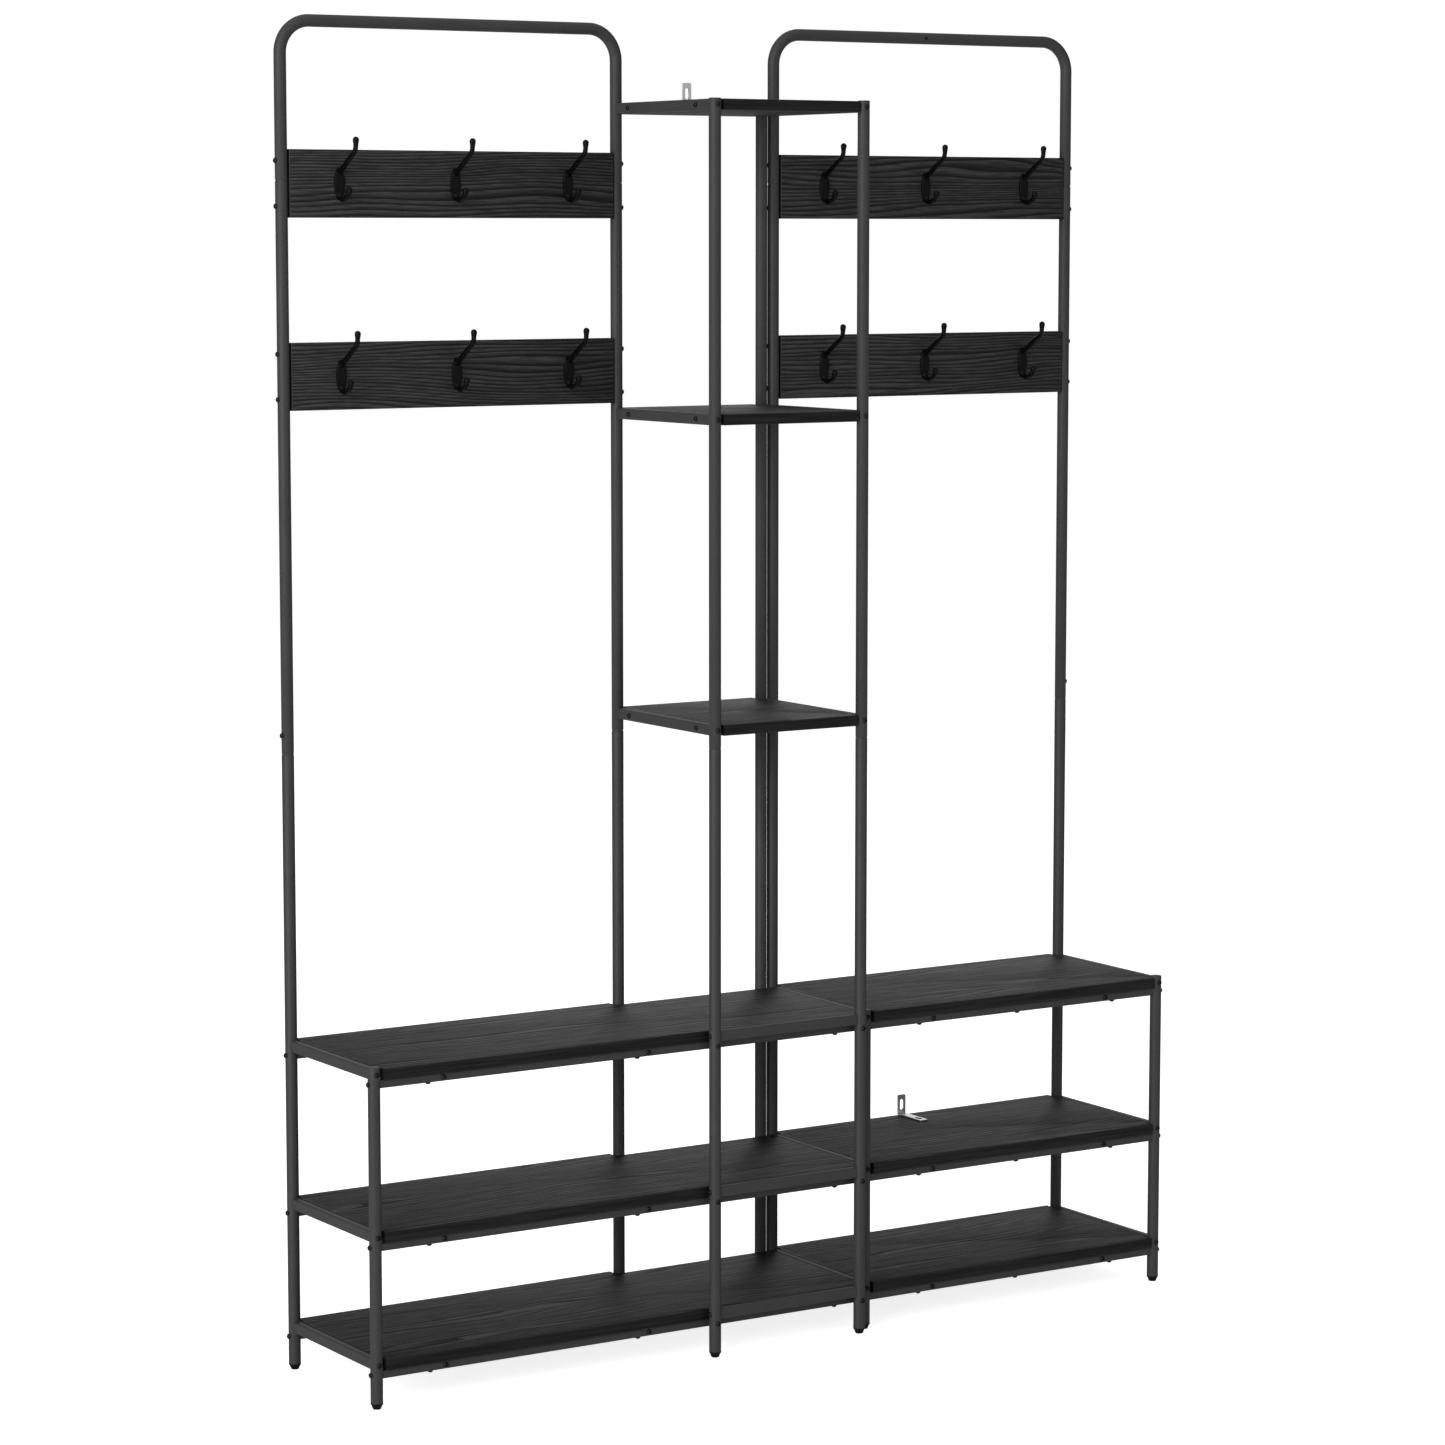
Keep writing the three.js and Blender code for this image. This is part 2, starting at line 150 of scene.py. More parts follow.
class HallTreeHooks(bpy.types.PropertyGroup):
    """Double coat hooks."""

    plate_width: length("Plate width", "Width of the oval plate", 15 * MM)
    plate_height: length("Plate height", "Height of the oval plate", 44 * MM)
    plate_thickness: length("Plate thickness", "Thickness of the oval plate", 3 * MM)
    rod: length("Rod", "Diameter of the hook's arms", 7.2 * MM)
    neck: length("Neck", "Diameter of the upper arm just under its tip", 6.4 * MM)
    upper_tip: length("Upper tip", "Diameter of the upper arm's rounded end", 8.4 * MM)
    lower_tip: length("Lower tip", "Diameter of the lower arm's rounded end", 8.4 * MM)
    upper_reach: length("Upper reach", "Reach of the upper arm from the board", 49 * MM)
    upper_rise: length("Upper rise", "Rise of the upper arm over the plate's middle", 57 * MM)
    lower_reach: length("Lower reach", "Reach of the lower arm from the board", 29 * MM)
    lower_drop: length("Lower drop", "Drop of the lower arm under the plate's middle", 21 * MM)


class HallTreeScrews(bpy.types.PropertyGroup):
    """Button-head screws."""

    head: length("Head", "Diameter of a screw head", 7.4 * MM)
    head_height: length("Head height", "Height of a screw head", 2.6 * MM)
    socket: length("Socket", "Width across the flats of the hexagon socket", 3 * MM)


class HallTreeColours(bpy.types.PropertyGroup):
    """Base colours of the finishes."""

    coat: colour("Powder coat", "Black powder coat on the steel tube", "#313132")
    coat_worn: colour("Powder coat, light", "Lighter grains in the powder coat", "#39393a")
    oak: colour("Oak foil", "Black oak foil between the grain lines", "#3b3b3b")
    oak_pore: colour("Oak pores", "Dark pores and grain lines of the foil", "#080808")
    band: colour("Edge band", "Edge band of the boards", "#191919")
    hook: colour("Hook lacquer", "Black lacquer of the hooks", "#050505")
    plastic: colour("Foot plastic", "Black plastic of the feet", "#050505")
    zinc: colour("Zinc", "Zinc plating of the wall brackets", "#d9dadb")
    screw: colour("Screws", "Black zinc plating of the screws", "#1b1b1c")


# ---- Surfaces ----


def loft(rings):
    """Shell through rings of points: neighbours along and across form quads, flat ends close it.

    The rings run anticlockwise about the direction of travel, so the faces point outwards.
    """
    rows, sides = rings.shape[:2]
    across = np.arange(sides)
    after = (across + 1) % sides
    near = np.arange(rows - 1)[:, None] * sides
    far = near + sides
    quads = np.stack([near + across, near + after, far + after, far + across], axis=-1)
    ends = [across[::-1].tolist(), (across + (rows - 1) * sides).tolist()]
    return rings.reshape(-1, 3), quads.reshape(-1, 4).tolist() + ends


def once_round(sides):
    """Evenly spaced angles once round."""
    return 2 * math.pi * np.arange(sides) / sides


def spokes(axis, angles):
    """Unit vectors square to a unit axis: cosine and sine of two directions across it."""
    nearly_upright = abs(axis[2]) >= 0.9
    first = np.cross([1.0, 0.0, 0.0] if nearly_upright else [0.0, 0.0, 1.0], axis)
    first /= np.linalg.norm(first)
    second = np.cross(axis, first)
    return np.cos(angles)[:, None] * first + np.sin(angles)[:, None] * second


def turned(profile, origin, axis, sides):
    """Turned shell: each (radius, height) of the profile swung once round the axis at origin."""
    radius, height = np.array(profile, float).T[..., None, None]
    spoke = spokes(axis, once_round(sides))
    return loft(np.array(origin) + radius * spoke + height * np.array(axis))


def bar(path, travel, radii, side_axis, sides):
    """Round bar along a flat path: each point carries a circle square to the path's direction.

    side_axis is the direction square to the path's plane.
    """
    side, angles = np.array(side_axis, float), once_round(sides)
    across = np.cross(side, travel)[:, None, :]
    spoke = np.cos(angles)[:, None] * across + np.sin(angles)[:, None] * side
    return loft(path[:, None, :] + radii[:, None, None] * spoke)


def rounded_outline(width, height, corner, steps=4, fill=5):
    """Rounded rectangle about the origin, anticlockwise: a quarter circle at each corner.

    The straight sides carry fill evenly spaced points, so that an end can be curved.
    """
    turns = np.linspace(0, math.pi / 2, steps)
    arcs = []
    for quarter, (x, y) in enumerate([(1, 1), (-1, 1), (-1, -1), (1, -1)]):
        angles = turns + quarter * math.pi / 2
        arc = np.stack([np.cos(angles), np.sin(angles)], 1) * corner
        arcs.append(arc + np.array([x * (width / 2 - corner), y * (height / 2 - corner)]))
    parts = []
    for arc, following in zip(arcs, arcs[1:] + arcs[:1]):
        share = np.linspace(0, 1, fill + 2)[1:-1, None]
        parts.extend([arc, arc[-1] + share * (following[0] - arc[-1])])
    return np.concatenate(parts)


def rail(start, end, height, width, rails, radius):
    """Rounded rectangular tube between two posts' axes: its section carried along the line.

    Both ends are coped, so their distance from a post's axis is the root of the post's radius
    squared less the sideways offset squared.
    """
    start, end = np.array(start), np.array(end)
    span = np.linalg.norm(end - start)
    along = (end - start) / span
    up = np.array([0.0, 0.0, 1.0])
    outline = rounded_outline(width, height, rails.corner)
    sideways, rise = outline[:, 0], outline[:, 1]
    cope = np.sqrt(np.maximum((radius + rails.seam) ** 2 - sideways**2, 0))
    share = np.array([0.0, 0.004, 0.5, 0.996, 1.0])[:, None]
    travel = cope + share * ((span - cope) - cope)
    section = sideways[:, None] * np.cross(up, along) + rise[:, None] * up
    return loft(start + travel[..., None] * along + section)


def channel(start, end, width, height, wall):
    """Channel open below: a U-shaped outline carried along the line from start to end."""
    start, end = np.array(start), np.array(end)
    along = (end - start) / np.linalg.norm(end - start)
    up = np.array([0.0, 0.0, 1.0])
    side = np.cross(up, along)
    w, h, t = width / 2, height / 2, wall
    turns = np.linspace(0, math.pi / 2, 4)
    right = np.stack([w - t + t * np.cos(turns), h - t + t * np.sin(turns)], 1)
    left = np.stack([t - w - t * np.sin(turns), h - t + t * np.cos(turns)], 1)
    inner = [[-w, -h], [t - w, -h], [t - w, h - t], [w - t, h - t], [w - t, -h], [w, -h]]
    outline = np.concatenate([right, left, inner])
    points = outline[:, :1] * side + outline[:, 1:] * up
    return loft(np.stack([start + points, end + points]))


def inset(outline, distance):
    """Outline moved inwards: each corner goes along the mean of its edges' normals."""
    edge = np.roll(outline, -1, 0) - outline
    edge /= np.linalg.norm(edge, axis=1)[:, None]
    inward = np.stack([-edge[:, 1], edge[:, 0]], 1)
    before = np.roll(inward, 1, 0)
    mitre = (inward + before) / (1 + (inward * before).sum(1))[:, None]
    return outline + distance * mitre


def slab(outline, low, high, bevel):
    """Board with bevelled edges: its outline lofted through heights, drawn in at both faces."""
    soft = 0.35 * bevel
    insets = [bevel, soft, 0, 0, soft, bevel]
    heights = [low, low + soft, low + bevel, high - bevel, high - soft, high]
    rings = [
        np.column_stack([inset(outline, distance), np.full(len(outline), height)])
        for distance, height in zip(insets, heights)
    ]
    return loft(np.stack(rings))


def catmull(points, steps):
    """Smooth line through points: each span is a cubic whose slopes come from its neighbours."""
    points = np.array(points, float)
    padded = np.concatenate([[2 * points[0] - points[1]], points, [2 * points[-1] - points[-2]]])
    t = np.linspace(0, 1, steps, endpoint=False)[:, None]
    spans = [
        0.5
        * (
            2 * b
            + (c - a) * t
            + (2 * a - 5 * b + 4 * c - d) * t**2
            + (3 * b - a - 3 * c + d) * t**3
        )
        for a, b, c, d in zip(padded, padded[1:], padded[2:], padded[3:])
    ]
    return np.concatenate([*spans, points[-1:]])


def make_piece(name, shells, materials, replaces=(), smooth=35):
    """Joins shells into one piece that rides on the frame.

    Edges that turn by more than smooth degrees stay sharp.
    """
    points, faces, base = [], [], 0
    for shell_points, shell_faces in shells:
        points.append(shell_points)
        faces.extend([[base + corner for corner in face] for face in shell_faces])
        base += len(shell_points)
    mesh = bpy.data.meshes.new(name)
    mesh.from_pydata(np.concatenate(points).tolist(), [], faces)
    if mesh.validate():
        raise RuntimeError(f"{name}: the mesh had faults")
    for material in materials:
        mesh.materials.append(material)
    mesh.shade_smooth()
    mesh.set_sharp_from_angle(angle=math.radians(smooth))
    mesh.update()
    made = bpy.data.objects.new(name, mesh)
    bpy.context.scene.collection.objects.link(made)
    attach(made, "root")
    if replaces:
        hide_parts(*replaces)
    return made


# ---- Materials ----


def add_node(tree, kind, inputs=None, **settings):
    """Adds a shader node, applies its settings, and fills its inputs or links them.

    An input given as a node is linked to the first output which that node has in use.
    """
    made = tree.nodes.new("ShaderNode" + kind)
    for name, value in settings.items():
        setattr(made, name, value)
    for key, value in (inputs or {}).items():
        if isinstance(value, bpy.types.Node):
            value = next(output for output in value.outputs if output.enabled)
        if isinstance(value, bpy.types.NodeSocket):
            tree.links.new(value, made.inputs[key])
        else:
            made.inputs[key].default_value = value
    return made


def finish(name):
    """Turns a function that adds nodes and returns the shader into one that gives its material.

    The function gets the tree, the Object coordinates and the colours. It runs only once: a
    material of this name that is there already is used again.
    """

    def wrap(shade):
        @functools.wraps(shade)
        def material():
            known = bpy.data.materials.get(name)
            if known:
                return known
            made = bpy.data.materials.new(name)
            made.use_nodes = True
            tree = made.node_tree
            tree.nodes.clear()
            place = add_node(tree, "TexCoord").outputs["Object"]
            shader = shade(tree, place, bpy.context.scene.hall_tree_colours)
            add_node(tree, "OutputMaterial", {"Surface": shader})
            return made

        return material

    return wrap


def uneven(tree, base, height, rough, depth, strength, specular):
    """Shader whose gloss and relief follow one height; rough is the roughness at 0 and at 1."""
    gloss = add_node(tree, "MapRange", {"Value": height, "To Min": rough[0], "To Max": rough[1]})
    bump = add_node(tree, "Bump", {"Height": height, "Distance": depth, "Strength": strength})
    return add_node(
        tree,
        "BsdfPrincipled",
        {"Base Color": base, "Roughness": gloss, "Normal": bump, "Specular IOR Level": specular},
    )


@finish("black_powder_coated_steel")
def powder_coat(tree, place, colours):
    """Polyester powder coat on mild steel tube: sprayed and baked, satin with a faint orange peel.

    To the eye it is a soft, broad highlight on near black with barely lighter grains. The peel of
    a real coat is under a millimetre, drawn here at 1.6 mm so that it shows.
    """
    peel = add_node(tree, "TexNoise", {"Vector": place, "Scale": 1 / (1.6 * MM), "Detail": 2.0})
    drift = add_node(tree, "TexNoise", {"Vector": place, "Scale": 1 / (60 * MM), "Detail": 2.0})
    tone = add_node(
        tree, "Mix", {0: drift, 6: colours.coat, 7: colours.coat_worn}, data_type="RGBA"
    )
    return uneven(tree, tone, peel, (0.5, 0.62), depth=0.06 * MM, strength=0.3, specular=0.28)


def oak_grain(tree, place):
    """Oak figure along X: even lines across Y and Z, bent by a stretched noise into arches.

    The line count is (0.8 y + z) / 5.5 mm plus eleven times the noise, and its fraction is the
    place between two lines. Every fifth line is a darker, wider one. Returns the lines times the
    pores, from 0 in the deepest grain to 1 between the lines.
    """
    pitch = 5.5 * MM
    long_way = add_node(tree, "Mapping", {"Vector": place, "Scale": (1 / 8, 1, 1)})
    figure = add_node(
        tree,
        "TexNoise",
        {"Vector": long_way, "Scale": 1 / (58 * MM), "Detail": 1.5, "Roughness": 0.4},
    )
    even = add_node(
        tree, "VectorMath", {0: place, 1: (0, 0.8 / pitch, 1 / pitch)}, operation="DOT_PRODUCT"
    )
    lines = add_node(tree, "Math", {0: figure, 1: 11.0, 2: even}, operation="MULTIPLY_ADD")
    saw = add_node(tree, "Math", {0: lines}, operation="FRACT")
    ring = add_node(
        tree,
        "MapRange",
        {"Value": saw, "From Min": 0.05, "From Max": 0.75, "To Min": 0.05},
        interpolation_type="SMOOTHSTEP",
    )
    fifths = add_node(tree, "Math", {0: lines, 1: 0.2}, operation="MULTIPLY")
    slow = add_node(tree, "Math", {0: fifths}, operation="FRACT")
    late = add_node(
        tree,
        "MapRange",
        {"Value": slow, "From Min": 0.0, "From Max": 0.24, "To Min": 0.4},
        interpolation_type="SMOOTHSTEP",
    )
    rings = add_node(tree, "Math", {0: ring, 1: late}, operation="MULTIPLY")
    fine_way = add_node(tree, "Mapping", {"Vector": place, "Scale": (1 / 26, 1, 1)})
    speck = add_node(
        tree,
        "TexNoise",
        {"Vector": fine_way, "Scale": 1 / (1.5 * MM), "Detail": 2.0, "Roughness": 0.6},
    )
    pore = add_node(
        tree,
        "MapRange",
        {"Value": speck, "From Min": 0.38, "From Max": 0.56, "To Min": 0.45},
        interpolation_type="SMOOTHSTEP",
    )
    return add_node(tree, "Math", {0: rings, 1: pore}, operation="MULTIPLY")


@finish("black_oak_melamine")
def oak_foil(tree, place, colours):
    """Black oak-look melamine on chipboard: a printed foil pressed with an embossed grain.

    To the eye it is near black with darker sunken grain lines along the board and a satin sheen
    that breaks at the lines. Lines lie about 5.5 mm apart. Pores of a real foil are about 0.4 mm
    wide, drawn here at 1.5 mm so that they show.
    """
    relief = oak_grain(tree, place)
    tone = add_node(
        tree, "Mix", {0: relief, 6: colours.oak_pore, 7: colours.oak}, data_type="RGBA"
    )
    return uneven(tree, tone, relief, (0.66, 0.5), depth=0.35 * MM, strength=0.6, specular=0.2)


@finish("black_melamine_edge_band")
def edge_band(tree, place, colours):
    """Black melamine edge band ironed to the boards' edges: thin, streaked lengthwise, duller.

    To the eye it is darker than the faces, with fine streaks along the board. Streaks are about
    0.5 mm apart on a real band, drawn here at 2.4 mm so that they show.
    """
    stretched = add_node(tree, "Mapping", {"Vector": place, "Scale": (1 / 40, 1, 1)})
    streak = add_node(
        tree, "TexNoise", {"Vector": stretched, "Scale": 1 / (2.4 * MM), "Detail": 2.0}
    )
    contrast = add_node(tree, "MapRange", {"Value": streak, "From Min": 0.4, "From Max": 0.62})
    tone = add_node(
        tree, "Mix", {0: contrast, 6: colours.oak_pore, 7: colours.band}, data_type="RGBA"
    )
    return uneven(tree, tone, streak, (0.65, 0.5), depth=0.15 * MM, strength=0.4, specular=0.2)


@finish("black_melamine_pressed_edge")
def foil_radius(tree, place, colours):
    """Black melamine stretched round the boards' long edges: its grain is pressed almost flat.

    To the eye it is a thin line along each edge, glossier and darker than the faces, with soft
    unevenness at about 4 mm.
    """
    wave = add_node(tree, "TexNoise", {"Vector": place, "Scale": 1 / (4 * MM), "Detail": 1.0})
    rough = add_node(tree, "MapRange", {"Value": wave, "To Min": 0.34, "To Max": 0.46})
    return add_node(
        tree,
        "BsdfPrincipled",
        {"Base Color": colours.band, "Roughness": rough, "Specular IOR Level": 0.4},
    )


@finish("black_lacquered_die_cast")
def hook_lacquer(tree, place, colours):
    """Black lacquer on die-cast zinc: dipped and baked, smooth, with a tight highlight.

    To the eye it is the darkest and glossiest finish here, slightly uneven where the casting
    was fettled, at about 5 mm.
    """
    wave = add_node(tree, "TexNoise", {"Vector": place, "Scale": 1 / (5 * MM), "Detail": 1.0})
    return uneven(
        tree, colours.hook, wave, (0.34, 0.46), depth=0.15 * MM, strength=0.3, specular=0.12
    )


@finish("black_moulded_polyethylene")
def foot_plastic(tree, place, colours):
    """Black polyethylene, injection moulded: dull, slightly waxy, with a fine spark grain.

    The grain of the real mould is about 0.3 mm, drawn here at 0.9 mm.
    """
    grain = add_node(tree, "TexNoise", {"Vector": place, "Scale": 1 / (0.9 * MM), "Detail": 1.0})
    return uneven(
        tree, colours.plastic, grain, (0.5, 0.65), depth=0.08 * MM, strength=0.4, specular=0.15
    )


@finish("bright_zinc_plated_steel")
def bright_zinc(tree, place, colours):
    """Bright zinc plating on stamped steel strip: silvery, cloudy at about 6 mm, lightly drawn.

    To the eye it is pale metal with soft cloudy patches and fine lines from the strip's rolling.
    """
    cloud = add_node(tree, "TexNoise", {"Vector": place, "Scale": 1 / (6 * MM), "Detail": 3.0})
    drawn = add_node(tree, "Mapping", {"Vector": place, "Scale": (1, 1 / 25, 1 / 25)})
    line = add_node(tree, "TexNoise", {"Vector": drawn, "Scale": 1 / (0.8 * MM), "Detail": 1.0})
    tone = add_node(
        tree, "Mix", {0: cloud, 6: linear("#c4c6c9"), 7: colours.zinc}, data_type="RGBA"
    )
    rough = add_node(tree, "MapRange", {"Value": cloud, "To Min": 0.22, "To Max": 0.42})
    bump = add_node(tree, "Bump", {"Height": line, "Distance": 0.04 * MM, "Strength": 0.3})
    return add_node(
        tree,
        "BsdfPrincipled",
        {"Base Color": tone, "Metallic": 1.0, "Roughness": rough, "Normal": bump},
    )


@finish("black_zinc_plated_screw")
def screw_steel(tree, place, colours):
    """Black zinc-plated steel screws: small dark metal heads with a bright rim highlight.

    The plating is blotchy at about 2 mm, so the gloss varies over a head.
    """
    blotch = add_node(tree, "TexNoise", {"Vector": place, "Scale": 1 / (2 * MM), "Detail": 2.0})
    tone = add_node(
        tree, "Mix", {0: blotch, 6: linear("#101011"), 7: colours.screw}, data_type="RGBA"
    )
    rough = add_node(tree, "MapRange", {"Value": blotch, "To Min": 0.25, "To Max": 0.45})
    return add_node(
        tree, "BsdfPrincipled", {"Base Color": tone, "Metallic": 0.6, "Roughness": rough}
    )


@finish("white_studio_paper")
def studio_paper(tree, place, colours):
    """Seamless white studio paper, evenly lit from behind so that only soft shadows show."""
    fibre = add_node(tree, "TexNoise", {"Vector": place, "Scale": 1 / (400 * MM), "Detail": 1.0})
    tone = add_node(
        tree, "Mix", {0: fibre, 6: linear("#f0f0ef"), 7: linear("#f5f5f4")}, data_type="RGBA"
    )
    seen = add_node(tree, "LightPath").outputs["Is Camera Ray"]
    glow = add_node(tree, "MapRange", {"Value": seen, "To Min": 0.05, "To Max": 0.82})
    return add_node(
        tree,
        "BsdfPrincipled",
        {
            "Base Color": tone,
            "Roughness": 0.95,
            "Specular IOR Level": 0.1,
            "Emission Color": (1.0, 1.0, 1.0, 1.0),
            "Emission Strength": glow,
        },
    )


# ---- Pieces ----

LEFTWARD, RIGHTWARD, FORWARD = (-1, 0, 0), (1, 0, 0), (0, -1, 0)
UPWARD, DOWNWARD = (0, 0, 1), (0, 0, -1)
# How far a tube reaches into its foot, and its plain length at either end
FOOT_OVERLAP, PLAIN_END = 0.1 * MM, 20 * MM


def leg_rows(tubes, joints):
    """Radius and height up a leg: its lower end, then at each joint a ring with rounded edges."""
    radius = tubes.diameter / 2
    bottom = tubes.foot_height - FOOT_OVERLAP
    lip, deep = radius - 0.3 * tubes.groove_depth, radius - tubes.groove_depth
    edge = 0.3 * MM
    rows = [(radius, bottom), (radius, bottom + PLAIN_END)]
    for low in joints:
        high = low + tubes.groove_height
        rows += [(radius, low - edge), (lip, low - 0.1 * edge), (deep, low + 0.15 * edge)]
        rows += [(deep, high - 0.15 * edge), (lip, high + 0.1 * edge), (radius, high + edge)]
    return rows


def hoop_shell(first_x, last_x, tubes):
    """One bent tube: legs, joints and bends as a circle carried up, over and down the hoop.

    A bend's centreline is a quarter circle about a point one bend radius in from the leg.
    """
    radius, bend = tubes.diameter / 2, tubes.bend_radius
    top = LEFT_HOOP[1].z
    leg = np.array(leg_rows(tubes, [tubes.joint_height, top - tubes.hoop_joint_drop]))
    swing = np.linspace(0, math.pi / 2, 17)
    sine, cosine = np.sin(swing), np.cos(swing)
    level, straight, still = top - radius - bend, np.ones(len(leg)), np.zeros(len(leg))
    x = np.concatenate(
        [
            first_x * straight,
            first_x + bend * (1 - cosine),
            last_x - bend + bend * sine,
            last_x * straight,
        ]
    )
    z = np.concatenate([leg[:, 1], level + bend * sine, level + bend * cosine, leg[::-1, 1]])
    travel_x = np.concatenate([still, sine, cosine, still])
    travel_z = np.concatenate([straight, cosine, -sine, -straight])
    radii = np.concatenate([leg[:, 0], np.full(2 * len(swing), radius), leg[::-1, 0]])
    path = np.column_stack([x, np.full(len(x), BACK_Y), z])
    travel = np.column_stack([travel_x, np.zeros(len(x)), travel_z])
    return bar(path, travel, radii, (0, 1, 0), tubes.sides)


def post_shell(x, y, top, tubes):
    """Straight tube with a closed rounded top: a profile of radii and heights swung round it."""
    radius = tubes.diameter / 2
    rows = leg_rows(tubes, [tubes.joint_height] if top > tubes.joint_height else [])
    rows += [
        (radius, top - PLAIN_END),
        (radius, top - 1.0 * MM),
        (radius - 0.15 * MM, top - 0.5 * MM),
        (radius - 0.5 * MM, top - 0.15 * MM),
        (radius - 1.0 * MM, top),
        (radius - 2.6 * MM, top + 0.1 * MM),
    ]
    return turned(rows, (x, y, 0), UPWARD, tubes.sides)


def foot_shell(x, y, tubes):
    """Tapered plug with a thin collar: radii and heights from the floor up, swung round."""
    tip, radius, high = tubes.foot_tip / 2, tubes.diameter / 2, tubes.foot_height
    rows = [
        (tip - 1.0 * MM, 0),
        (tip - 0.3 * MM, 0.2 * MM),
        (tip, 0.8 * MM),
        (tip + 0.62 * (radius - tip), 0.72 * high),
        (radius - 0.15 * MM, 0.84 * high),
        (radius + 0.2 * MM, 0.9 * high),
        (radius + 0.2 * MM, high + 0.4 * MM),
        (radius - 0.1 * MM, high + 0.7 * MM),
        (radius - 1.4 * MM, high + 0.8 * MM),
    ]
    return turned(rows, (x, y, 0), UPWARD, 32)


def plug_shell(x, z, radius):
    """Low plug in a small hole in a tube's front: radii and heights swung round -Y."""
    rows = np.array([(2.3, -0.9), (2.3, 0.15), (2.15, 0.3), (1.8, 0.35), (1.2, 0.25), (0.4, 0.2)])
    return turned(rows * MM, (x, BACK_Y - radius, z), FORWARD, 24)


class HallTreeHoopsOperator(bpy.types.Operator):
    """Build both bent hoops with their legs, and the plug in the right one's top"""

    bl_idname = "hall_tree.hoops"
    bl_label = "Hoops"

    def execute(self, context):
        tubes = context.scene.hall_tree_tubes
        for side, (first_x, last_x) in HOOPS.items():
            shell = hoop_shell(first_x, last_x, tubes)
            node = side + "_hoop_frame"
            make_piece(side + "_hoop", [shell], [powder_coat()], [node])
        radius = tubes.diameter / 2
        plug = plug_shell((RIGHT_HOOP_X + RIGHT_X) / 2, RIGHT_HOOP[1].z - radius, radius)
        make_piece("right_hoop_plug", [plug], [foot_plastic()])
        return {"FINISHED"}


class HallTreePostsOperator(bpy.types.Operator):
    """Build the straight posts of the tower and the benches"""

    bl_idname = "hall_tree.posts"
    bl_label = "Posts"

    def execute(self, context):
        tubes = context.scene.hall_tree_tubes
        nodes = ["tower_back_post", "tower_front_post_left", "tower_front_post_right"]
        nodes += ["bench_front_post_" + end for end in BENCH_END_X]
        for node in nodes:
            low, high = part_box(node)
            middle = (low + high) / 2
            shell = post_shell(middle.x, middle.y, high.z, tubes)
            make_piece(node + "_tube", [shell], [powder_coat()], [node])
        return {"FINISHED"}


class HallTreeFeetOperator(bpy.types.Operator):
    """Build the plastic feet in the posts' ends"""

    bl_idname = "hall_tree.feet"
    bl_label = "Feet"

    def execute(self, context):
        tubes = context.scene.hall_tree_tubes
        back = [(x, BACK_Y) for x in (LEFT_X, TOWER_LEFT_X, TOWER_RIGHT_X, RIGHT_HOOP_X, RIGHT_X)]
        bench = [(x, BENCH_FRONT_Y) for x in BENCH_END_X.values()]
        tower = [(x, TOWER_FRONT_Y) for x in TOWER_SIDE_X.values()]
        for name, places in {"back": back, "bench": bench, "tower": tower}.items():
            shells = [foot_shell(x, y, tubes) for x, y in places]
            make_piece(name + "_feet", shells, [foot_plastic()])
        return {"FINISHED"}


class HallTreeRailsOperator(bpy.types.Operator):
    """Build the rails that close the ends of the benches and the tower"""

    bl_idname = "hall_tree.rails"
    bl_label = "Side and front rails"

    def execute(self, context):
        rails = context.scene.hall_tree_rails
        radius = context.scene.hall_tree_tubes.diameter / 2
        spans = {}
        for level in BENCH_LEVELS:
            for end, x in BENCH_END_X.items():
                spans[f"bench_{end}_end_rail_{level}"] = (x, BENCH_FRONT_Y), (x, BACK_Y)
        for level in TOWER_LEVELS:
            for side, x in TOWER_SIDE_X.items():
                spans[f"tower_{side}_side_rail_{level}"] = (x, TOWER_FRONT_Y), (x, BACK_Y)
        for level in BENCH_LEVELS:
            ends = (TOWER_LEFT_X, TOWER_FRONT_Y), (TOWER_RIGHT_X, TOWER_FRONT_Y)
            spans["tower_front_rail_" + level] = ends
        for node, (start, end) in spans.items():
            low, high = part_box(node)
            z = (low.z + high.z) / 2
            width = min(high.x - low.x, high.y - low.y)
            shell = rail((*start, z), (*end, z), high.z - low.z, width, rails, radius)
            make_piece(node + "_tube", [shell], [powder_coat()], [node])
        return {"FINISHED"}


# Where the braces under the boards lie
LONG_BRACES = (LEFT_X + 101 * MM, TOWER_LEFT_X - 99 * MM, TOWER_RIGHT_X - 23 * MM)
SHORT_BRACES = (RIGHT_HOOP_X + 114 * MM, RIGHT_X - 97 * MM)


def under_frame_shells(node, spans, braces, radius, rails):
    """Front and back rails coped to the posts, with channels between them."""
    low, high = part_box(node)
    height, width = high.z - low.z, 2 * (high.y - BACK_Y)
    z = (low.z + high.z) / 2
    front_y, back_y = (BENCH_FRONT_Y + width / 2 - 0.2 * MM, BACK_Y - width / 2 + 0.2 * MM)
    shells = [
        rail((first, y, z), (last, y, z), height, width, rails, radius) for first, last, y in spans
    ]
    for x in braces:
        shells.append(
            channel((x, front_y, z), (x, back_y, z), width, height - 0.4 * MM, rails.wall)
        )
    return shells


